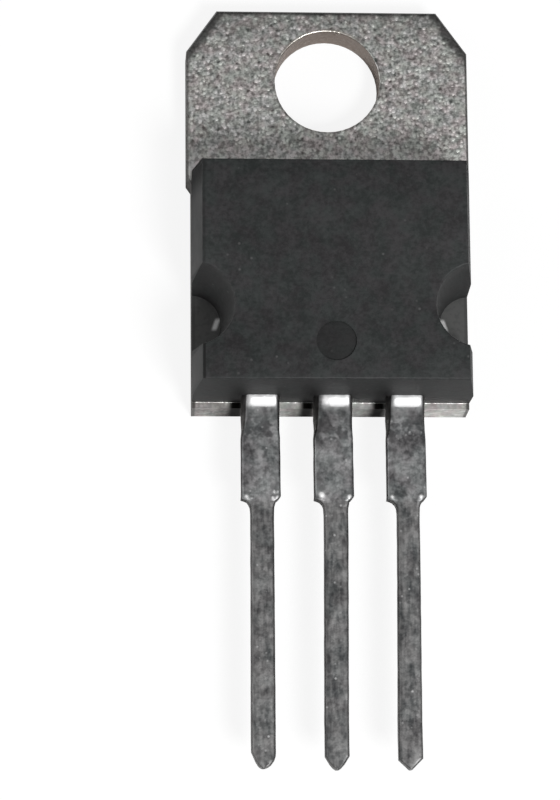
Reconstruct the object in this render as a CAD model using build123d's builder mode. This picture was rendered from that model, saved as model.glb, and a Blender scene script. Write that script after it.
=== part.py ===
# Power transistor in a moulded plastic body with a metal mounting tab and three flat leads.
# It lies on its back, in millimetres. The origin is the centre of the mounting hole on the
# mounting face, +Z points out of the plastic front, +Y to the tab's end and -Y along the leads.
import os
from math import hypot

from build123d import *

os.makedirs("parts", exist_ok=True)

# Mounting tab and header, stamped from one copper strip
tab_width = 10.2
tab_end_to_hole = 2.68
header_thickness = 1.3
hole_radius = 1.9
corner_across = 1.1
corner_along = 1.55
edge_roll = 0.15
hole_roll = 0.06
waist_to_body_top = 0.1
waist_slope_run = 0.25
header_past_body = 0.2
groove_width = 0.45
groove_depth = 0.2
groove_flare = 0.08
groove_inset = 0.75
groove_side_margin = 1.4

# Plastic body, widest at its parting plane, which lies on the front face of the leads
hole_to_body_top = 3.76
body_length = 8.2
body_width = 9.9
cover_height = 2.0
front_side_inset = 0.3
front_end_inset = 0.14
base_inset = 0.02
top_bevel_along = 0.5
top_bevel_depth = 0.05
notch_outside = 0.05
notch_to_body_bottom = 2.83
notch_front_radius = 1.5
notch_floor_radius = 1.09
ejector_radius = 0.7
ejector_depth = 0.06
ejector_to_body_bottom = 1.5

# Leads, stamped from thinner copper strip and dipped in solder outside the body
lead_pitch = 2.54
lead_rise = 0.7
lead_thickness = 0.5
lead_length = 13.2
wide_width = 1.32
wide_length = 3.8
stub_width = 1.4
stub_length = 0.5
stub_flare_length = 0.35
step_length = 0.29
narrow_width = 0.8
tip_start_width = 0.83

# What holds and joins the leads inside the body
pad_inset = 0.5
pad_width = 2.2
pad_length = 1.5
pad_corner = 0.25
joggle_inset = 0.9
joggle_slope_run = 0.75
joggle_bend = 0.3
foot_length = 0.85

# Silicon chip and the solder layer that holds it on the header
die_width = 4.0
die_length = 3.3
die_thickness = 0.3
die_to_foot = 0.45
solder_thickness = 0.06
solder_margin = 0.15
metal_thickness = 0.02
metal_margin = 0.25
gate_metal_size = 0.75
gate_metal_gap = 0.12

# Aluminium bond wires, pressed flat where they are welded
source_wire_radius = 0.15
gate_wire_radius = 0.07
source_wire_count = 3
source_wire_pitch_on_die = 0.85
source_wire_pitch_on_pad = 0.65
source_bonds_to_die_edge = 1.1
wire_headroom = 1.1
wire_bend = 0.35
foot_length_in_radii = 4.0
foot_width_in_radii = 2.9
foot_height_in_radii = 1.3

# Heights and places that the sizes above settle
header_front = header_thickness
lead_back = header_front + lead_rise
lead_front = lead_back + lead_thickness
body_front = lead_front + cover_height
body_top = -hole_to_body_top
body_bottom = body_top - body_length
body_centre = (body_top + body_bottom) / 2
waist_top = body_top + waist_to_body_top
header_width = body_width - 2 * base_inset
header_end = body_bottom - header_past_body
foot_end = body_bottom + joggle_inset + joggle_slope_run + foot_length
die_centre = foot_end + die_to_foot + die_length / 2
die_back = header_front + solder_thickness
die_front = die_back + die_thickness
metal_front = die_front + metal_thickness
pad_centre = body_bottom + pad_inset + pad_length / 2


def groove_section():
    """Undercut section of a groove pressed into the header's front, with its mouth on Y 0."""
    with BuildSketch(Plane.YZ) as section:
        with BuildLine():
            Polyline(
                (-groove_width / 2, header_front),
                (groove_width / 2, header_front),
                (groove_width / 2 + groove_flare, header_front - groove_depth),
                (-groove_width / 2 - groove_flare, header_front - groove_depth),
                close=True,
            )
        make_face()
    return section.sketch


def groove_keys():
    """The two solid keys of plastic that fill the header's grooves, one near each end."""
    with BuildPart() as keys:
        for place in (body_top - groove_inset, body_bottom + groove_inset):
            section = groove_section().moved(Location((0, place, 0)))
            extrude(section, amount=header_width / 2 - groove_side_margin, both=True)
    return keys.part


# Header with its tab: die-rolled front edges, cut corners, a hole and two locking grooves
with BuildPart() as heat_sink:
    with BuildSketch():
        with BuildLine():
            Polyline(
                (-header_width / 2, header_end),
                (-header_width / 2, waist_top - waist_slope_run),
                (-tab_width / 2, waist_top),
                (-tab_width / 2, tab_end_to_hole - corner_along),
                (-tab_width / 2 + corner_across, tab_end_to_hole),
                (tab_width / 2 - corner_across, tab_end_to_hole),
                (tab_width / 2, tab_end_to_hole - corner_along),
                (tab_width / 2, waist_top),
                (header_width / 2, waist_top - waist_slope_run),
                (header_width / 2, header_end),
                close=True,
            )
        make_face()
    extrude(amount=header_thickness)
    tab_rim = heat_sink.faces().sort_by(Axis.Z)[-1].edges()
    fillet(tab_rim.filter_by(lambda edge: edge.center().Y > waist_top), edge_roll)
    Hole(hole_radius)
    hole_rim = heat_sink.faces().sort_by(Axis.Z)[-1].edges().filter_by(GeomType.CIRCLE)
    fillet(hole_rim, hole_roll)
    add(groove_keys(), mode=Mode.SUBTRACT)
heat_sink.part.label = "heat_sink"


def lead_plan(inner_length, tip_length, tip_end_width, tip_bulge):
    """Flat outline of one lead: Y 0 is where it leaves the plastic, and it points to -Y.

    The stubs are what is left of the bar that joined the leads in the strip. On one side
    the cut runs into the narrow part in an arc, and on the other in a straight slope.
    """
    wide = wide_width / 2
    stub = stub_width / 2
    narrow = narrow_width / 2
    tip = tip_start_width / 2
    end = tip_end_width / 2
    stub_top = -wide_length + stub_length
    tip_top = -lead_length + tip_length
    with BuildSketch() as plan:
        with BuildLine():
            Polyline(
                (-wide, inner_length),
                (-wide, stub_top),
                (-stub, stub_top - stub_flare_length),
                (-stub, -wide_length),
            )
            ThreePointArc(
                (-stub, -wide_length),
                (-narrow - 0.3 * (stub - narrow), -wide_length - 0.3 * step_length),
                (-narrow, -wide_length - step_length),
            )
            Line((-narrow, -wide_length - step_length), (-tip, tip_top))
            SagittaArc((-tip, tip_top), (-end, -lead_length), -tip_bulge)
            Line((-end, -lead_length), (end, -lead_length))
            SagittaArc((end, -lead_length), (tip, tip_top), -tip_bulge)
            Polyline(
                (tip, tip_top),
                (narrow, -wide_length - step_length),
                (stub, -wide_length),
                (stub, stub_top - stub_flare_length),
                (wide, stub_top),
                (wide, inner_length),
                (-wide, inner_length),
            )
        make_face()
    return plan.sketch


def side_lead(x, plan):
    """Gate or source lead: it ends inside the plastic in a wider pad, clear of the header."""
    with BuildPart() as lead:
        with BuildSketch(Plane((x, body_bottom, lead_back))):
            add(plan)
        with BuildSketch(Plane((x, pad_centre, lead_back))):
            RectangleRounded(pad_width, pad_length, pad_corner)
        extrude(amount=lead_thickness)
    return lead.part


# Gate lead on the left and source lead on the right, each with its own sheared tip
gate_plan = lead_plan(pad_inset + pad_corner, 0.5, 0.26, 0.07)
gate_lead = side_lead(-lead_pitch, gate_plan)
gate_lead.label = "gate_lead"
source_plan = lead_plan(pad_inset + pad_corner, 0.35, 0.14, 0.01)
source_lead = side_lead(lead_pitch, source_plan)
source_lead.label = "source_lead"

# Drain lead in the middle: it steps down to a foot that is welded on the header's front
with BuildPart() as drain_lead:
    with BuildSketch(Plane((0, body_bottom, lead_back))):
        add(lead_plan(joggle_inset, 0.42, 0.18, 0.03))
    extrude(amount=lead_thickness)
    with BuildSketch(Plane.YZ):
        with BuildLine():
            FilletPolyline(
                (body_bottom + joggle_inset / 2, lead_back + lead_thickness / 2),
                (body_bottom + joggle_inset, lead_back + lead_thickness / 2),
                (foot_end - foot_length, header_front + lead_thickness / 2),
                (foot_end, header_front + lead_thickness / 2),
                radius=joggle_bend,
            )
        trace(line_width=lead_thickness)
    extrude(amount=wide_width / 2, both=True)
drain_lead.part.label = "drain_lead"

# Solder layer under the chip, a little wider at the header than at the chip
with BuildPart() as die_solder:
    with BuildSketch(Plane((0, die_centre, header_front))):
        Rectangle(die_width + 2 * solder_margin, die_length + 2 * solder_margin)
    with BuildSketch(Plane((0, die_centre, die_back))):
        Rectangle(die_width, die_length)
    loft()
die_solder.part.label = "die_solder"

# Silicon chip with its raised metal: a source area, and a gate square in the corner it leaves
gate_metal_x = -die_width / 2 + metal_margin + gate_metal_size / 2
gate_metal_y = die_centre - die_length / 2 + metal_margin + gate_metal_size / 2
with BuildPart() as silicon_die:
    with BuildSketch(Plane((0, die_centre, die_back))):
        Rectangle(die_width, die_length)
    extrude(amount=die_thickness)
    with BuildSketch(Plane((0, die_centre, die_front))):
        Rectangle(die_width - 2 * metal_margin, die_length - 2 * metal_margin)
        with Locations((gate_metal_x, gate_metal_y - die_centre)):
            Rectangle(
                gate_metal_size + 2 * gate_metal_gap,
                gate_metal_size + 2 * gate_metal_gap,
                mode=Mode.SUBTRACT,
            )
            Rectangle(gate_metal_size, gate_metal_size)
    extrude(amount=metal_thickness)
silicon_die.part.label = "silicon_die"


def bond_wire(start, end, radius):
    """Round wire that loops from the chip's metal to a lead's pad, with a flat foot at each end."""
    reach = hypot(end[0] - start[0], end[1] - start[1])
    along = Vector(end[0] - start[0], end[1] - start[1], 0).normalized()
    crest = lead_front + wire_headroom
    loop_plane = Plane(origin=(start[0], start[1], 0), x_dir=along, z_dir=along.cross(Vector(0, 0, 1)))
    with BuildPart() as wire:
        for point in (start, end):
            with BuildSketch(Plane(origin=point, x_dir=along, z_dir=(0, 0, 1))):
                Rectangle(foot_length_in_radii * radius, foot_width_in_radii * radius)
            extrude(amount=foot_height_in_radii * radius)
        with BuildLine(loop_plane) as loop:
            FilletPolyline(
                (0, start[2] + radius),
                (reach / 4, crest),
                (reach * 3 / 4, crest),
                (reach, end[2] + radius),
                radius=wire_bend,
            )
        with BuildSketch(Plane(origin=loop.line @ 0, z_dir=loop.line % 0)):
            Circle(radius)
        sweep(path=loop.line)
    return wire.part


# One thin wire to the gate and several thick ones side by side to the source
gate_bond_wire = bond_wire(
    (gate_metal_x, gate_metal_y, metal_front),
    (-lead_pitch + pad_width / 4, pad_centre, lead_front),
    gate_wire_radius,
)
gate_bond_wire.label = "gate_bond_wire"
source_bond_wires = []
for index in range(source_wire_count):
    place = index - (source_wire_count - 1) / 2
    bond_on_die = (
        die_width / 8 + place * source_wire_pitch_on_die,
        die_centre - die_length / 2 + source_bonds_to_die_edge,
        metal_front,
    )
    bond_on_pad = (lead_pitch + place * source_wire_pitch_on_pad, pad_centre, lead_front)
    wire = bond_wire(bond_on_die, bond_on_pad, source_wire_radius)
    wire.label = f"source_bond_wire_{index + 1}"
    source_bond_wires.append(wire)

# Moulded body: drafted from its parting plane to the front and to the header, with a clamp
# notch in each side, a shallow bevel along the top of the front and an ejector pin's mark
with BuildPart() as epoxy_body:
    with BuildSketch(Plane((0, body_centre, lead_front))):
        Rectangle(body_width, body_length)
    with BuildSketch(Plane((0, body_centre, body_front))):
        Rectangle(body_width - 2 * front_side_inset, body_length - 2 * front_end_inset)
    loft()
    with BuildSketch(Plane.YZ):
        with BuildLine():
            Polyline(
                (body_top, body_front),
                (body_top - front_end_inset - top_bevel_along, body_front),
                (body_top, body_front - top_bevel_depth),
                close=True,
            )
        make_face()
    extrude(amount=body_width / 2, both=True, mode=Mode.SUBTRACT)
    with BuildSketch(Plane((0, body_centre, lead_front))):
        Rectangle(body_width, body_length)
    with BuildSketch(Plane((0, body_centre, header_front))):
        Rectangle(header_width, body_length - 2 * base_inset)
    loft()
    for side in (-1, 1):
        notch_x = side * (body_width / 2 + notch_outside)
        notch_y = body_bottom + notch_to_body_bottom
        with BuildSketch(Plane((notch_x, notch_y, header_front))):
            Circle(notch_floor_radius)
        with BuildSketch(Plane((notch_x, notch_y, body_front))):
            Circle(notch_front_radius)
        loft(mode=Mode.SUBTRACT)
    with BuildSketch(Plane((0, body_bottom + ejector_to_body_bottom, body_front))):
        Circle(ejector_radius)
    extrude(amount=-ejector_depth, mode=Mode.SUBTRACT)
    add(groove_keys())
    for piece in (gate_lead, drain_lead.part, source_lead, die_solder.part, silicon_die.part, gate_bond_wire):
        add(piece, mode=Mode.SUBTRACT)
    for piece in source_bond_wires:
        add(piece, mode=Mode.SUBTRACT)
epoxy_body.part.label = "epoxy_body"

export_step(heat_sink.part, "parts/heat_sink.step")
export_step(gate_lead, "parts/gate_lead.step")
export_step(drain_lead.part, "parts/drain_lead.step")
export_step(source_lead, "parts/source_lead.step")
export_step(die_solder.part, "parts/die_solder.step")
export_step(silicon_die.part, "parts/silicon_die.step")
export_step(gate_bond_wire, "parts/gate_bond_wire.step")
for wire in source_bond_wires:
    export_step(wire, f"parts/{wire.label}.step")
export_step(epoxy_body.part, "parts/epoxy_body.step")
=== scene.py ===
from math import cos, hypot, pi, radians, sin

import bmesh
import bpy
import numpy as np
from mathutils import Matrix, Vector


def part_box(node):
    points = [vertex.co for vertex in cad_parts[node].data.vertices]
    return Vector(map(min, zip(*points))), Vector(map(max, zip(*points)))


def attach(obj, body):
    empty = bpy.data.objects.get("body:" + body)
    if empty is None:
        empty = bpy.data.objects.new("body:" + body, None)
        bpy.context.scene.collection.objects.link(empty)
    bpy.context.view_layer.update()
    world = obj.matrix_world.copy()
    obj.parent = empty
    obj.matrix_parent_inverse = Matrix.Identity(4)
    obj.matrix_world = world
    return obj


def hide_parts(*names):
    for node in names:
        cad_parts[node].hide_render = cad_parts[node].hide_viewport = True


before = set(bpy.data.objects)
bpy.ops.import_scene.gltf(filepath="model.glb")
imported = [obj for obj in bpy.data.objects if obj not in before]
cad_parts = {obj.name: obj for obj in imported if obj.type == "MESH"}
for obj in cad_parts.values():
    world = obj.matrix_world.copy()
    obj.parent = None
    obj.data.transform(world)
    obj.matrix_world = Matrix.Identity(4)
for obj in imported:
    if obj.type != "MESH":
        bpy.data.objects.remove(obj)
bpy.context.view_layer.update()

# Camera: it looks down on the part, which lies on its back, from a little towards the leads'
# ends and a little to the left, with a long lens, so that the plate's end shows under the body.
MM = 0.001
camera_azimuth = radians(-3.276)
camera_elevation = radians(13.061)
camera_roll = radians(-0.484)
camera_target = Vector((-1.847, -12.011, 2.0)) * MM
camera_distance = 126.426 * MM
focal_pixels = 3586.45
frame_pixels = 800

back = Vector((
    sin(camera_azimuth) * cos(camera_elevation),
    -sin(camera_elevation),
    cos(camera_azimuth) * cos(camera_elevation),
))
right = Vector((0, 1, 0)).cross(back).normalized()
up = back.cross(right)
turned_right = right * cos(camera_roll) + up * sin(camera_roll)
turned_up = up * cos(camera_roll) - right * sin(camera_roll)
camera_data = bpy.data.cameras.new("camera")
camera_data.sensor_width = 36
camera_data.lens = focal_pixels * camera_data.sensor_width / frame_pixels
camera_data.clip_start = 0.005
camera_data.clip_end = 20
camera = bpy.data.objects.new("camera", camera_data)
camera.matrix_world = Matrix.Translation(camera_target + back * camera_distance) @ Matrix(
    (turned_right, turned_up, back)
).transposed().to_4x4()
bpy.context.scene.collection.objects.link(camera)
bpy.context.scene.camera = camera
bpy.context.scene.view_settings.view_transform = "Standard"


# Floor and light: a white sheet, a lamp from the right and the leads' side, a weaker one from
# the left, and a room that is brightest low on the left, dim overhead and beyond the tab.
class Term:
    """One output socket of a material's nodes. Arithmetic on terms adds Math nodes."""

    def __init__(self, finish, socket):
        self.finish = finish
        self.socket = socket

    def __add__(self, other):
        return self.finish.math("ADD", self, other)

    def __sub__(self, other):
        return self.finish.math("SUBTRACT", self, other)

    def __rsub__(self, other):
        return self.finish.math("SUBTRACT", other, self)

    def __mul__(self, other):
        return self.finish.math("MULTIPLY", self, other)

    def __pow__(self, other):
        return self.finish.math("POWER", self, other)

    def __abs__(self):
        return self.finish.math("ABSOLUTE", self)

    __radd__ = __add__
    __rmul__ = __mul__

    def least(self, other):
        return self.finish.math("MINIMUM", self, other)

    def most(self, other):
        return self.finish.math("MAXIMUM", self, other)

    def ramp(self, low, high):
        """0 at low, 1 at high, smooth between them."""
        node = self.finish.node(
            "ShaderNodeMapRange",
            {"interpolation_type": "SMOOTHSTEP"},
            {"Value": self, "From Min": low, "From Max": high, "To Min": 0.0, "To Max": 1.0},
        )
        return Term(self.finish, node.outputs[0])

    def within(self, middle, half, soft):
        """1 where the term is less than half away from the middle, 0 a soft width further on."""
        return 1 - abs(self - middle).ramp(half, half + soft)


class Finish:
    """A material on Object coordinates in millimetres, or the room's light, made of terms."""

    def __init__(self, name, constants, world=None):
        if world is None:
            self.material = bpy.data.materials.new(name)
            self.material.use_nodes = True
            self.tree = self.material.node_tree
            self.shader = self.tree.nodes["Principled BSDF"]
        else:
            world.use_nodes = True
            self.tree = world.node_tree
            self.shader = self.tree.nodes["Background"]
        self.set(constants)

    def set(self, values):
        """Puts numbers, colours or terms on the sockets of the finish's own shader."""
        for name, value in values.items():
            self.plug(self.shader.inputs[name], value)

    def plug(self, socket, value):
        if isinstance(value, Term):
            self.tree.links.new(value.socket, socket)
        else:
            socket.default_value = value

    def node(self, kind, settings, inputs):
        """Any node but a Math node: its type, its settings, then its inputs."""
        made = self.tree.nodes.new(kind)
        for name, value in settings.items():
            setattr(made, name, value)
        for name, value in inputs.items():
            self.plug(made.inputs[name], value)
        return made

    def math(self, operation, *values):
        made = self.tree.nodes.new("ShaderNodeMath")
        made.operation = operation
        for socket, value in zip(made.inputs, values):
            self.plug(socket, value)
        return Term(self, made.outputs[0])

    def split(self, vector):
        """The three parts of a vector, each as a term."""
        parts = self.node("ShaderNodeSeparateXYZ", {}, {"Vector": vector})
        return [Term(self, output) for output in parts.outputs]

    def place(self, stretch=(1, 1, 1)):
        """Object coordinates in millimetres, stretched along each axis."""
        source = self.node("ShaderNodeTexCoord", {}, {})
        scaled = self.node("ShaderNodeMapping", {}, {
            "Vector": Term(self, source.outputs["Object"]),
            "Scale": tuple(a / MM for a in stretch),
        })
        return Term(self, scaled.outputs[0])

    def attribute(self, name):
        """A value stored on the piece's points."""
        made = self.node("ShaderNodeAttribute", {"attribute_name": name}, {})
        return Term(self, made.outputs["Fac"])

    def light_path(self, kind):
        return Term(self, self.node("ShaderNodeLightPath", {}, {}).outputs[kind])

    def noise(self, scale, detail=2.0, roughness=0.5, stretch=(1, 1, 1)):
        """Cloudy noise about 0.5; its features are about 1 / scale millimetres across."""
        made = self.node("ShaderNodeTexNoise", {}, {
            "Vector": self.place(stretch), "Scale": scale, "Detail": detail, "Roughness": roughness,
        })
        return Term(self, made.outputs["Fac"])

    def dots(self, scale, size, rarity):
        """One soft round dot in each cell of a random pattern, most of them faint.

        A dot's radius is size / scale millimetres, and its strength is a random level from
        0 to 1 raised to the power of the rarity.
        """
        cells = self.node("ShaderNodeTexVoronoi", {}, {"Vector": self.place(), "Scale": scale})
        level = self.split(Term(self, cells.outputs["Color"]))[0]
        return (1 - Term(self, cells.outputs["Distance"]).ramp(0.3 * size, size)) * level ** rarity

    def blend(self, share, first, second):
        """The first colour where share is 0 and the second where it is 1."""
        made = self.node("ShaderNodeMix", {"data_type": "RGBA"}, {0: share, 6: first, 7: second})
        return Term(self, made.outputs[2])

    def bump(self, height, depth):
        """A normal for a relief of the given height term, depth millimetres deep."""
        made = self.node("ShaderNodeBump", {}, {
            "Height": height, "Distance": depth * MM, "Strength": 1.0,
        })
        return Term(self, made.outputs[0])


def grey(level, warmth=0.0):
    """A neutral colour of that level; warmth shifts it a little to red or, below 0, to blue."""
    return (level * (1 + warmth), level, level * (1 - warmth), 1.0)


def lamp(name, towards, size, power):
    """A square lamp in the given direction from the part's middle, which it faces."""
    data = bpy.data.lights.new(name, "AREA")
    data.size = size
    data.energy = power
    light = bpy.data.objects.new(name, data)
    heading = Vector(towards).normalized()
    turn = heading.to_track_quat("Z", "Y").to_matrix().to_4x4()
    light.matrix_world = Matrix.Translation(part_middle + heading * lamp_distance) @ turn
    bpy.context.scene.collection.objects.link(light)


part_middle = Vector((0, -11, 2)) * MM
lamp_distance = 0.4
lamp("key_lamp", (0.3, -0.5, 0.8), 0.10, 1.2)
lamp("left_lamp", (-0.9, 0.1, 0.45), 0.2, 0.12)

world = bpy.data.worlds.new("room")
bpy.context.scene.world = world
room = Finish("room", {"Strength": 1.0}, world)
direction = room.node("ShaderNodeTexCoord", {}, {})
across, along, height = room.split(Term(room, direction.outputs["Generated"]))
overhead = height.ramp(0.4, 0.95)
beyond_tab = along.ramp(-0.1, 0.7)
low_light = room.blend(across.ramp(-0.8, 0.0), grey(0.62), grey(0.4))
room_light = room.blend(overhead, low_light, grey(0.3))
room_light = room.blend(beyond_tab * 0.6, room_light, grey(0.1))
room.set({"Color": room.blend(room.light_path("Is Camera Ray"), room_light, grey(1.0))})

floor_half = 1.5
floor_mesh = bpy.data.meshes.new("floor")
floor_corners = [
    (-floor_half, -floor_half, 0),
    (floor_half, -floor_half, 0),
    (floor_half, floor_half, 0),
    (-floor_half, floor_half, 0),
]
floor_mesh.from_pydata(floor_corners, [], [(0, 1, 2, 3)])
floor = bpy.data.objects.new("floor", floor_mesh)
bpy.context.scene.collection.objects.link(floor)
sheet = Finish("white_sheet", {"Roughness": 0.9, "Specular IOR Level": 0.1, "Emission Strength": 1.0})
sheet_seen = sheet.light_path("Is Camera Ray")
sheet.set({
    "Base Color": sheet.blend(sheet_seen, grey(0.86), grey(0.15)),
    "Emission Color": sheet.blend(sheet_seen, grey(0.0), grey(0.87)),
})
floor_mesh.materials.append(sheet.material)


# Header with its tab: a plate punched from copper strip, blasted and nickel plated. The punch
# rolled its front edges over and sheared its walls. Resin bled thinly over it in the notches.
# Painted shade darkens the tab towards its end, the rolled corners and end, the sheared sides,
# the end strip's left end and a band left of each lead; painted light lightens the tab beside
# the body and the strip's lip, with a painted highlight on the hole's lit rim and a painted
# glint in each notch.
def dress(node, finish):
    """Gives a piece that keeps its own shape its finish."""
    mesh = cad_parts[node].data
    mesh.materials.clear()
    mesh.materials.append(finish.material)


def painted_lead_shadow(finish, across):
    """1 in the band on the left of each lead where the lead's painted shadow lies, at the given X."""
    near_lead = finish.math("WRAP", across + shade_offset, lead_pitch / 2, -lead_pitch / 2)
    return near_lead.within(0.0, shade_half, shade_soft) * (1 - across.ramp(*shades_end))


lead_pitch = 2.54
shade_offset = 0.84
shade_half = 0.1
shade_soft = 0.26
shades_end = (2.6, 2.8)
plate_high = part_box("heat_sink")[1] / MM
body_low, body_high = (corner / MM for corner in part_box("epoxy_body"))
corner_across = 1.1
corner_along = 1.55
hole_radius = 1.9
hole_roll = 0.06
waist_inset = 0.2
waist_run = 0.25
waist_to_body_top = 0.1
waist_top = body_high.y + waist_to_body_top
notch_to_body_bottom = 2.83
notch_floor_radius = 1.09
notch_front_radius = 1.5
notch_outside = 0.05

# Each pair gives where a mark begins and ends to fade, from its edge: the hole's copper wall, a
# grey outline, and painted shade and painted light along the plate's edges.
corner_roll = (0.18, 0.5)
end_roll = (0.06, 0.24)
outline_fade = (0.03, 0.08)
wall_fade = (0.004, 0.012)
sheared_fade = (0.05, 0.12)
strip_end_fade = (0.13, 0.07)
lip_fade = (0.08, 0.02)
top_fade = (0.03, 0.01)
strip_soft = 0.03
rim_soft = 0.06
resin_soft = 0.1
lit_side_slant = 0.35
lit_side_fade = (0.7, 1.6)
body_glow_end = 1.6
end_shade = (0.1, 1.6)
glint_slant = 0.33

nickel = Finish("blasted_nickel", {"Metallic": 1.0})
x, y, z = nickel.split(nickel.place())
from_end = plate_high.y - y
from_corner = (
    (plate_high.x - abs(x)) * corner_along + from_end * corner_across - corner_across * corner_along
) * (1 / hypot(corner_across, corner_along))
from_hole = (x * x + y * y) ** 0.5
front = z.ramp(0.6 * plate_high.z, 0.9 * plate_high.z)
ragged = (nickel.noise(3.6, 2.0) - 0.5) * 0.5
end_strip = 1 - y.ramp(body_low.y, body_low.y + strip_soft)
corner_rolled = 1 - (from_corner + ragged).ramp(*corner_roll)
end_rolled = 1 - (from_end + ragged * 0.6).ramp(*end_roll)
rolled = corner_rolled.most(end_rolled)
outline = 1 - from_corner.least(from_end).ramp(*outline_fade)
wall = 1 - from_hole.ramp(hole_radius + wall_fade[0], hole_radius + wall_fade[1])
lit_side = (y - x * lit_side_slant).ramp(*lit_side_fade)
rim = from_hole.within(hole_radius + 0.5 * hole_roll, 0.5 * hole_roll, rim_soft) * (1 - wall)
waisted = 1 - y.ramp(waist_top - waist_run, waist_top)
half_width = plate_high.x - waist_inset * waisted
sheared = 1 - (half_width - abs(x)).ramp(*sheared_fade)
strip_end = end_strip * (0 - x).ramp(body_high.x - strip_end_fade[0], body_high.x - strip_end_fade[1])
notch_inward = body_high.x + notch_outside - abs(x)
notch_along = y - (body_low.y + notch_to_body_bottom)
resin = notch_along.within(0.0, notch_floor_radius, resin_soft) * front
glint_inward = (notch_inward - notch_along * glint_slant).within(0.92, 0.03, 0.11)
glint = glint_inward * notch_along.within(0.03, 0.12, 0.16)

grain = nickel.noise(7.4, 1.4, 0.6)
sparkle = nickel.dots(7.0, 0.62, 1.6)
pit = nickel.dots(5.6, 0.6, 1.3)
cloud = nickel.noise(0.6, 2.0)
warm = nickel.noise(2.6, 1.0).ramp(0.36, 0.64)
green = nickel.noise(2.4, 1.0, 0.5, (1.0, 1.0, 0.7)).ramp(0.36, 0.64)
on_top = z.ramp(plate_high.z - top_fade[0], plate_high.z - top_fade[1])
# Painted light: the tab's face grows lighter towards the body, away from the end strip.
body_side_glow = (1 - (y - body_high.y).ramp(0.0, body_glow_end)) * on_top * (1 - end_strip)
lip_glow = z.ramp(plate_high.z - lip_fade[0], plate_high.z - lip_fade[1]) * end_strip
level = grain.ramp(0.3, 0.7) * 0.55 + sparkle * 0.75 - pit * 0.3 + 0.2
# Painted shade towards the tab's end and painted light beside the body.
level = level * (0.68 + 0.32 * from_end.ramp(*end_shade) + 0.8 * body_side_glow)
mottle = nickel.noise(2.4, 2.0).ramp(0.3, 0.7) * 0.3 + x.ramp(-4.2, -1.5) * 0.2 + 0.01
# The end strip: mottled and lighter towards the right, with painted light along its lip.
level = level * (1 - end_strip * 0.75) + end_strip * mottle + lip_glow * 0.15
dark = nickel.blend(warm, (0.15, 0.16, 0.15, 1.0), (0.17, 0.15, 0.145, 1.0))
light = nickel.blend(warm, (0.98, 0.97, 0.96, 1.0), (1.0, 0.925, 0.92, 1.0))
light = nickel.blend(green * 0.45, light, (0.9, 0.99, 0.88, 1.0))
thin_resin = nickel.blend(cloud, (0.112, 0.114, 0.113, 1.0), (0.145, 0.147, 0.145, 1.0))
face = nickel.blend(level.most(0.0).least(1.0), dark, light)
# Painted light beside the body.
face = nickel.blend(body_side_glow * 0.3, face, grey(0.85))
# Painted shade on the rolled corners and the rolled end.
face = nickel.blend(rolled * front * 0.85, face, grey(0.07, 0.02))
face = nickel.blend(outline * 0.5, face, grey(0.35))
# Painted highlight on the hole's rim, on its lit side.
face = nickel.blend(rim * lit_side * (0.55 + sparkle * 0.45), face, (0.66, 0.61, 0.55, 1.0))
# Painted shade on the sheared sides and on the end strip's left end.
face = nickel.blend((sheared * 0.85).most(strip_end * 0.8), face, grey(0.09, 0.04))
face = nickel.blend(wall * 0.9, face, (0.25, 0.2, 0.17, 1.0))
face = nickel.blend(resin * 0.95, face, thin_resin)
# Painted glint on the resin in each notch.
face = nickel.blend(resin * glint, face, grey(1.0))
smooth = (rolled * 0.7).most(resin).most(end_strip * 0.88)
nickel.set({
    # Painted shadow of each lead on the end strip, on its left.
    "Base Color": nickel.blend(painted_lead_shadow(nickel, x) * end_strip, face, grey(0.012, 0.1)),
    "Roughness": 0.45 + cloud * 0.1 - rim * 0.15,
    "Normal": nickel.bump((grain + sparkle * 0.6 - pit * 0.4) * (1 - smooth), 0.012),
})
dress("heat_sink", nickel)

# Body: black epoxy moulding compound pressed round the chip and the leads. The mould's walls
# leave it evenly dull, the ejector pin's mark is a little darker, and the front stays bare.
# Painted shade darkens all the walls, most of all beside the tab, and a thin line along the left
# of the front; each lead's painted shadow lies on its left, low on the lower wall.
ejector_radius = 0.7
ejector_to_body_bottom = 1.5
front_side_inset = 0.3
edge_round = 0.06
round_steps = 4
least_turn = radians(20)
at_front = 0.002
edge_line_inset = front_side_inset + 0.06
edge_line_half = 0.02
edge_line_soft = 0.05
edge_line_fade = (1.4, 4.4)
lower_mould_fade = (0.15, 0.3)
under_leads_fade = (2.4, 4.2)
notch_fade = (-0.12, 0.04)
ejector_fade = (-0.06, 0.04)
tab_side_fade = (1.5, 0.3)

epoxy = Finish("moulding_compound", {"Specular IOR Level": 0.4})
x, y, z = epoxy.split(epoxy.place())
patch = epoxy.noise(1.1, 4.0, 0.6)
skin = epoxy.noise(7.0, 2.0, 0.6)
fleck = epoxy.dots(2.4, 0.16, 3.0)
tint = epoxy.noise(1.6, 2.0).ramp(0.35, 0.65)
shade = (patch * 0.5 + skin * 0.5).ramp(0.34, 0.66)
on_front = z.ramp(body_high.z - 0.05, body_high.z - 0.034)
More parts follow.
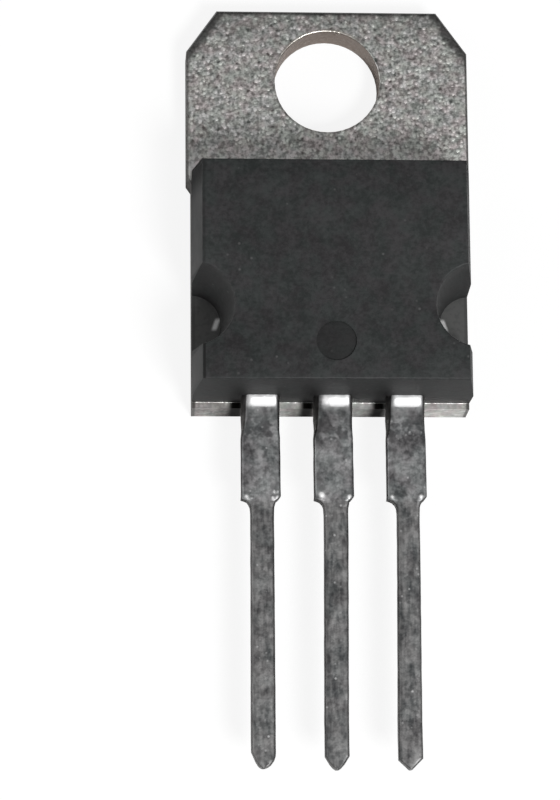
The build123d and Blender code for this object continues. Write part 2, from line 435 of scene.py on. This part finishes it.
# A line of painted shade along the left edge of the front, fainter towards the tab.
edge_shade_line = (0 - x).within(body_high.x - edge_line_inset, edge_line_half, edge_line_soft) * on_front
edge_shade_line = edge_shade_line * (1 - 0.6 * y.ramp(body_low.y + edge_line_fade[0], body_low.y + edge_line_fade[1]))
from_notch = (
    (body_high.x + notch_outside - abs(x)) ** 2.0 + (y - (body_low.y + notch_to_body_bottom)) ** 2.0
) ** 0.5
in_notch = 1 - from_notch.ramp(notch_front_radius + notch_fade[0], notch_front_radius + notch_fade[1])
in_notch = in_notch * (1 - on_front)
below_mould = 1 - y.ramp(body_low.y + lower_mould_fade[0], body_low.y + lower_mould_fade[1])
below_mould = below_mould * (1 - z.ramp(*under_leads_fade))
from_ejector = (x * x + (y - (body_low.y + ejector_to_body_bottom)) ** 2.0) ** 0.5
ejected = 1 - from_ejector.ramp(ejector_radius + ejector_fade[0], ejector_radius + ejector_fade[1])
ejected = ejected * on_front
near_tab = y.ramp(body_high.y - tab_side_fade[0], body_high.y - tab_side_fade[1])
shaded_wall = near_tab * (1 - on_front)
darker = epoxy.blend(tint, (0.0105, 0.0135, 0.013, 1.0), (0.0125, 0.0115, 0.0125, 1.0))
lighter = epoxy.blend(tint, (0.03, 0.034, 0.0335, 1.0), (0.033, 0.032, 0.0335, 1.0))
resin_black = epoxy.blend(shade, darker, lighter)
# Painted shade on all the walls, darkest beside the tab.
resin_black = epoxy.blend((1 - on_front) * (0.6 + 0.4 * near_tab), resin_black, grey(0.003))
# Painted shadow of each lead, on its left, low on the body's lower wall.
resin_black = epoxy.blend(painted_lead_shadow(epoxy, x) * below_mould, resin_black, grey(0.0))
resin_black = epoxy.blend(fleck * 0.5, resin_black, grey(0.12))
# Painted shade along the left edge of the front; the ejector pin's mark is a little darker.
resin_black = epoxy.blend((edge_shade_line * 0.95).most(ejected * 0.75), resin_black, grey(0.003))
duller = in_notch * 0.7 + edge_shade_line + ejected * 0.4 + below_mould * 0.4 + shaded_wall
epoxy.set({
    "Base Color": resin_black,
    # Painted shade too: the dark metallic walls beside the tab reflect little.
    "Metallic": shaded_wall * 0.8,
    "Roughness": 0.5 + patch * 0.12 + duller * 0.2,
    "Normal": epoxy.bump(skin + patch * 0.5, 0.006),
})


def on_front_rim(edge):
    """True for an edge where the front turns down, but not for the ejector mark's own."""
    if len(edge.link_faces) != 2 or edge.calc_face_angle() <= least_turn:
        return False
    for vertex in edge.verts:
        x, y, z = vertex.co / MM
        beside_ejector = hypot(x, y - body_low.y - ejector_to_body_bottom) > 1.2 * ejector_radius
        if z <= body_high.z - at_front or not beside_ejector:
            return False
    return True


plain_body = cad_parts["epoxy_body"].data
body_mesh = bpy.data.meshes.new("rounded_body")
body_mesh.from_pydata(
    [tuple(vertex.co) for vertex in plain_body.vertices],
    [],
    [tuple(polygon.vertices) for polygon in plain_body.polygons],
)
form = bmesh.new()
form.from_mesh(body_mesh)
bmesh.ops.remove_doubles(form, verts=form.verts[:], dist=0.0005 * MM)
bmesh.ops.dissolve_limit(form, angle_limit=radians(0.5), verts=form.verts[:], edges=form.edges[:])
front_rim = [edge for edge in form.edges if on_front_rim(edge)]
bmesh.ops.bevel(
    form, geom=front_rim, offset=edge_round * MM, segments=round_steps, profile=0.5, affect="EDGES"
)
form.to_mesh(body_mesh)
form.free()
body_mesh.polygons.foreach_set("use_smooth", np.ones(len(body_mesh.polygons), bool))
body_mesh.set_sharp_from_angle(angle=radians(32))
rounded_body = bpy.data.objects.new("rounded_body", body_mesh)
bpy.context.scene.collection.objects.link(rounded_body)
body_mesh.materials.append(epoxy.material)
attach(rounded_body, "root")
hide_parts("epoxy_body")

# Leads: flat copper strips dipped in solder below the body. The coat rounds the edges, lies in
# blotches and gathers in beads on the stubs; each tip was sheared its own way. Lines of
# painted shade run along their edges, and painted highlights lie on their roots and beads.
lead_low, lead_high = (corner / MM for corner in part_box("gate_lead"))
middle_z = (lead_low.z + lead_high.z) / 2
half_thick = (lead_high.z - lead_low.z) / 2
foot_z = plate_high.z + half_thick
wide_length = 3.7
step_length = 0.28
root_length = 0.42
root_lift = 0.1
coat_depth = 0.012
side_swell = 0.005
face_swell = 0.008
bead_height = 0.35
row_gap = 0.04
front_columns = 38
side_columns = 8
root_shine_middle = 0.25
root_shine_half = 0.17
edge_shade_width = 0.045
stain_to_body = 1.25
stain_half = 0.2
stain_soft = 0.5

solder = Finish("dipped_solder", {})
x, y, z = solder.split(solder.place())
rim_gap = solder.attribute("rim_gap")
painted_highlight = solder.attribute("painted_highlight")
blotch = solder.noise(1.8, 2.6, 0.6, (1.0, 0.75, 1.0)).ramp(0.34, 0.66)
fleck = solder.dots(3.4, 0.2, 1.8)
salt = solder.noise(7.0, 1.0, 0.6).ramp(0.3, 0.7)
streak = solder.noise(1.6, 1.5, 0.6, (4.0, 0.7, 1.0)).ramp(0.3, 0.7)
narrow = 1 - y.ramp(body_low.y - wide_length - step_length, body_low.y - wide_length + 0.1)
stain = solder.noise(2.6, 2.0).ramp(0.42, 0.56)
stained = y.within(body_low.y - stain_to_body, stain_half, stain_soft) * stain
tint = solder.noise(1.7, 1.0).ramp(0.3, 0.7)
level = blotch * (0.75 - narrow * 0.2) + salt * 0.25 + streak * (0.1 + narrow * 0.4) - narrow * 0.12
dark = solder.blend(tint, (0.10, 0.108, 0.111, 1.0), (0.108, 0.105, 0.108, 1.0))
light = solder.blend(tint, (0.445, 0.46, 0.458, 1.0), (0.46, 0.45, 0.457, 1.0))
light = solder.blend(narrow * 0.8, light, grey(0.46, 0.015))
coat = solder.blend(level.most(0.0) * (1 - narrow * 0.32) * (1 - stained * 0.75), dark, light)
coat = solder.blend(fleck * 0.75, coat, grey(0.85))
# Painted shade: dark lines along the lead's edges, thinner and fainter on the thin part.
edge = 1 - (rim_gap - narrow * 0.03).ramp(0.0, edge_shade_width)
coat = solder.blend(edge * (0.85 - narrow * 0.25), coat, (0.04, 0.036, 0.034, 1.0))
solder.set({
    # Painted highlights: nearly white and less metallic on the roots and beads.
    "Base Color": solder.blend(painted_highlight, coat, grey(0.94)),
    "Metallic": 1 - painted_highlight * 0.8,
    "Roughness": 0.42 + salt * 0.1,
    "Normal": solder.bump((salt * 0.3 + blotch) * (1 - painted_highlight), 0.004),
})


def relief(first, second, seed, count=28, shortest=0.5, longest=2.2):
    """Smooth random relief about 0: plane sine waves with random headings, added up.

    The sum is divided by the square root of twice their number.
    """
    random = np.random.default_rng(seed)
    heading, length, phase = random.uniform(
        (0, shortest, 0), (2 * pi, longest, 2 * pi), (count, 3)
    ).T.reshape(3, count, 1, 1)
    waves = np.sin(2 * pi * (first * np.cos(heading) + second * np.sin(heading)) / length + phase)
    return waves.sum(axis=0) / (2 * count) ** 0.5


def tube(name, points, values):
    """A closed tube through a grid of points, with named values stored on its points.

    Rows run along the tube and columns round it. Both ends are closed with one face.
    """
    rows, columns, _ = points.shape
    index = np.arange(rows * columns).reshape(rows, columns)
    turned = np.roll(index, -1, axis=1)
    quads = np.stack([index[:-1], turned[:-1], turned[1:], index[1:]], axis=-1).reshape(-1, 4)
    faces = [*map(tuple, quads.tolist()), tuple(index[0, ::-1].tolist()), tuple(index[-1].tolist())]
    mesh = bpy.data.meshes.new(name)
    mesh.from_pydata((points.reshape(-1, 3) * MM).tolist(), [], faces)
    mesh.polygons.foreach_set("use_smooth", np.ones(len(faces), bool))
    for label, value in values.items():
        mesh.attributes.new(label, "FLOAT", "POINT").data.foreach_set("value", value.ravel())
    piece = bpy.data.objects.new(name, mesh)
    bpy.context.scene.collection.objects.link(piece)
    return piece


def unit_square(across, through):
    """Points round a square from -1 to 1, evenly spaced on each side, as a row of pairs."""
    top = np.stack([np.linspace(1, -1, across, endpoint=False), np.ones(across)], axis=-1)
    left = np.stack([-np.ones(through), np.linspace(1, -1, through, endpoint=False)], axis=-1)
    return np.concatenate([top, left, -top, -left])


def slope(value, low, high):
    """0 at low, 1 at high and a smooth curve between them."""
    share = np.clip((value - low) / (high - low), 0, 1)
    return share * share * (3 - 2 * share)


def lead(name, node, middle, stations, root, beads, seed):
    """One lead: a rounded rectangle carried along the strip.

    Each station gives Y, the section's middle Z, its half widths on the left and the right,
    how much its front is narrower on each side, its squareness n and the coat's share;
    between stations they run straight. A point (u, v) of the unit square is drawn in to a
    superellipse by dividing it by (|u|^n + |v|^n)^(1/n). The coat swells by a random relief,
    each bead (X, Y and radius) adds a round hump, and the root's front rises to the body. A
    painted highlight lies on the beads and, as strong as the root's third value, between its
    two X values, with a fainter painted haze round it.
    """
    table = np.array(stations)
    steps = np.abs(np.diff(table[:, 0])) + np.abs(np.diff(table[:, 2:4], axis=0)).sum(axis=1)
    spacing = np.concatenate([[0], np.cumsum(steps)])
    walk = np.union1d(np.linspace(0, spacing[-1], int(spacing[-1] / row_gap)), spacing)
    columns = [np.interp(walk, spacing, column)[:, None] for column in table.T]
    y_row, z_row, left_row, right_row, left_inset, right_inset, power_row, coat_row = columns
    unit = unit_square(front_columns, side_columns)
    u, v = unit[:, 0][None, :], unit[:, 1][None, :]
    pull = (np.abs(u) ** power_row + np.abs(v) ** power_row) ** (1 / power_row)
    u, v = u / pull, v / pull
    swell = relief(u * 0.7 + v * 2.0, y_row, seed) * coat_row
    inset = np.where(u > 0, right_inset, left_inset) * (v + 1) / 2
    half_width = np.where(u > 0, right_row, left_row) - inset + coat_depth + side_swell * swell
    px = middle + u * half_width
    py = np.broadcast_to(y_row, px.shape)
    pz = z_row + v * (half_thick + coat_row * coat_depth + face_swell * swell)
    humps = np.zeros(px.shape)
    for bead_x, bead_y, radius in beads:
        away = ((px - middle - bead_x) ** 2 + (py - body_low.y - bead_y) ** 2) / radius**2
        humps += radius * np.exp(-away)
    below = body_low.y - py
    climb = (1 - slope(below, -0.05, root_length)) * slope(below, -0.1, -0.05)
    pz = pz + slope(v, 0.5, 1.0) * (bead_height * humps + root_lift * climb)
    gaps = np.where(np.abs(v) > 0.8, (1 - np.abs(u)) * half_width, 0)

    # Painted highlights: a patch on the root's front, a fainter haze round it and a spot on each bead.
    from_left, from_right = px - middle - root[0], root[1] - px + middle
    root_middle, root_half = (root[0] + root[1]) / 2, (root[1] - root[0]) / 2
    spread = (
        np.abs((px - middle - root_middle) / root_half) ** 5
        + np.abs((below - root_shine_middle) / root_shine_half) ** 5
    ) ** 0.2
    glow = 1 - slope(spread, 0.75, 1.15)
    haze = slope(from_left, -0.4, 0) * slope(from_right, -0.15, 0) * (1 - slope(below, 0.3, 0.6))
    bright_beads = np.clip(16 * humps, 0, 1) ** 2
    lit = np.maximum(np.maximum(root[2] * glow, 0.4 * haze), bright_beads) * slope(v, 0.8, 0.98)
    piece = tube(name, np.stack([px, py, pz], axis=-1), {"rim_gap": gaps, "painted_highlight": lit})
    piece.data.materials.append(solder.material)
    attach(piece, "root")
    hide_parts(node)


def strip(inside, wide, thin, tip):
    """Stations of one lead, from its inner end to its tip.

    Inside the body they are given by Y, middle Z and half width. Outside, the wide part and
    the thin part have their own half widths on the left and the right. Both measure Y from
    the body's bottom. The tip gives the height above its end and both half widths.
    """
    left, right = wide
    thin_left, thin_right = thin
    outside = [
        (0.0, left + 0.01, right + 0.04, 0.2, 0.1, 7, 0),
        (-root_length, left + 0.02, right + 0.03, 0.2, 0.09, 7, 0.3),
        (-0.8, left + 0.03, right + 0.01, 0.19, 0.06, 7, 1),
        (-1.2, left, right, 0.1, 0.03, 6, 1),
        (-1.5, left, right, 0, 0, 6, 1),
        (-wide_length + 0.12, left, right + 0.01, 0, 0, 6, 1),
        (-wide_length, left + 0.01, right - 0.08, 0, 0, 7, 1),
        (-wide_length - 0.02, left - 0.07, right - 0.1, 0, 0, 7, 1),
        (-wide_length - 0.07, left - 0.18, right - 0.16, 0, 0, 6, 1),
        (-wide_length - 0.16, thin_left + 0.07, thin_right + 0.04, 0, 0, 6, 1),
        (-wide_length - step_length, thin_left + 0.02, thin_right + 0.01, 0, 0, 5, 1),
        (-wide_length - 0.5, thin_left, thin_right, 0, 0, 5, 1),
        (-wide_length - 1.6, thin_left, thin_right, 0, 0, 5, 1),
    ]
    return [
        *((body_low.y + along, depth, half, half, 0, 0, 9, 0) for along, depth, half in inside),
        *((body_low.y + row[0], middle_z, *row[1:]) for row in outside),
        *((lead_low.y + rise, middle_z, *halves, 0, 0, 5, 1) for rise, *halves in tip),
    ]


pad_half = 1.1
pad_end = 2.0
pad_start = 0.5
hidden_half = 0.66
pad_inside = [
    (pad_end, middle_z, pad_half - 0.1),
    (pad_end - 0.08, middle_z, pad_half),
    (pad_start + 0.05, middle_z, pad_half),
    (pad_start, middle_z, hidden_half),
]
foot_inside = [(2.5, foot_z, hidden_half), (1.65, foot_z, hidden_half), (0.9, middle_z, hidden_half)]
round_tip = [
    (1.7, 0.41, 0.42),
    (0.66, 0.41, 0.42),
    (0.5, 0.34, 0.41),
    (0.35, 0.27, 0.36),
    (0.2, 0.18, 0.25),
    (0.13, 0.11, 0.15),
    (0.1, 0.04, 0.06),
]
blunt_tip = [
    (1.7, 0.41, 0.41),
    (0.5, 0.41, 0.42),
    (0.22, 0.24, 0.24),
    (0.1, 0.13, 0.13),
    (0.05, 0.05, 0.05),
]
point_tip = [
    (1.7, 0.41, 0.41),
    (0.42, 0.41, 0.42),
    (0.38, 0.41, 0.38),
    (0.07, 0.07, 0.07),
    (0.05, 0.03, 0.03),
]
gate_beads = [
    (-0.54, -3.62, 0.075),
    (-0.36, -3.67, 0.04),
    (0.38, -3.65, 0.06),
    (0.56, -3.65, 0.075),
    (0.43, -3.43, 0.05),
    (0.57, -3.43, 0.05),
    (0.16, -3.45, 0.035),
]
drain_beads = [(-0.45, -3.55, 0.1), (0.53, -3.62, 0.085), (0.42, -2.3, 0.04)]
source_beads = [
    (-0.52, -3.62, 0.075),
    (0.5, -3.6, 0.075),
    (-0.6, -2.3, 0.04),
    (0.13, -1.3, 0.045),
    (0.55, -1.3, 0.035),
]

gate_stations = strip(pad_inside, (0.705, 0.65), (0.385, 0.42), round_tip)
drain_stations = strip(foot_inside, (0.69, 0.675), (0.355, 0.475), blunt_tip)
source_stations = strip(pad_inside, (0.68, 0.69), (0.335, 0.44), point_tip)
lead("gate_strip", "gate_lead", -lead_pitch, gate_stations, (-0.39, 0.56, 1.0), gate_beads, 11)
lead("drain_strip", "drain_lead", 0.0, drain_stations, (-0.16, 0.48, 0.8), drain_beads, 12)
lead("source_strip", "source_lead", lead_pitch, source_stations, (-0.45, 0.56, 1.0), source_beads, 13)

# Inside the body: the chip with its aluminium metal, the solder layer that holds it on the
# header, and aluminium wires pressed on the chip and on the pads of the outer leads.
silicon = Finish("silicon_chip", {"Metallic": 0.6, "Roughness": 0.25})
street = silicon.noise(6.0, 2.0)
silicon.set({"Base Color": silicon.blend(street, (0.16, 0.17, 0.2, 1.0), (0.3, 0.31, 0.34, 1.0))})
dress("silicon_die", silicon)

soft_solder = Finish("chip_solder", {"Metallic": 1.0})
dull = soft_solder.noise(5.0, 3.0)
soft_solder.set({
    "Base Color": soft_solder.blend(dull, grey(0.3), grey(0.45)),
    "Roughness": 0.35 + dull * 0.2,
    "Normal": soft_solder.bump(dull, 0.01),
})
dress("die_solder", soft_solder)

bond = Finish("bond_aluminium", {"Metallic": 1.0})
drawn = bond.noise(20.0, 2.0, 0.5, (1.0, 0.2, 1.0))
bond.set({"Base Color": bond.blend(drawn, grey(0.6), grey(0.78)), "Roughness": 0.25 + drawn * 0.15})
for wire in ("gate_bond_wire", "source_bond_wire_1", "source_bond_wire_2", "source_bond_wire_3"):
    dress(wire, bond)
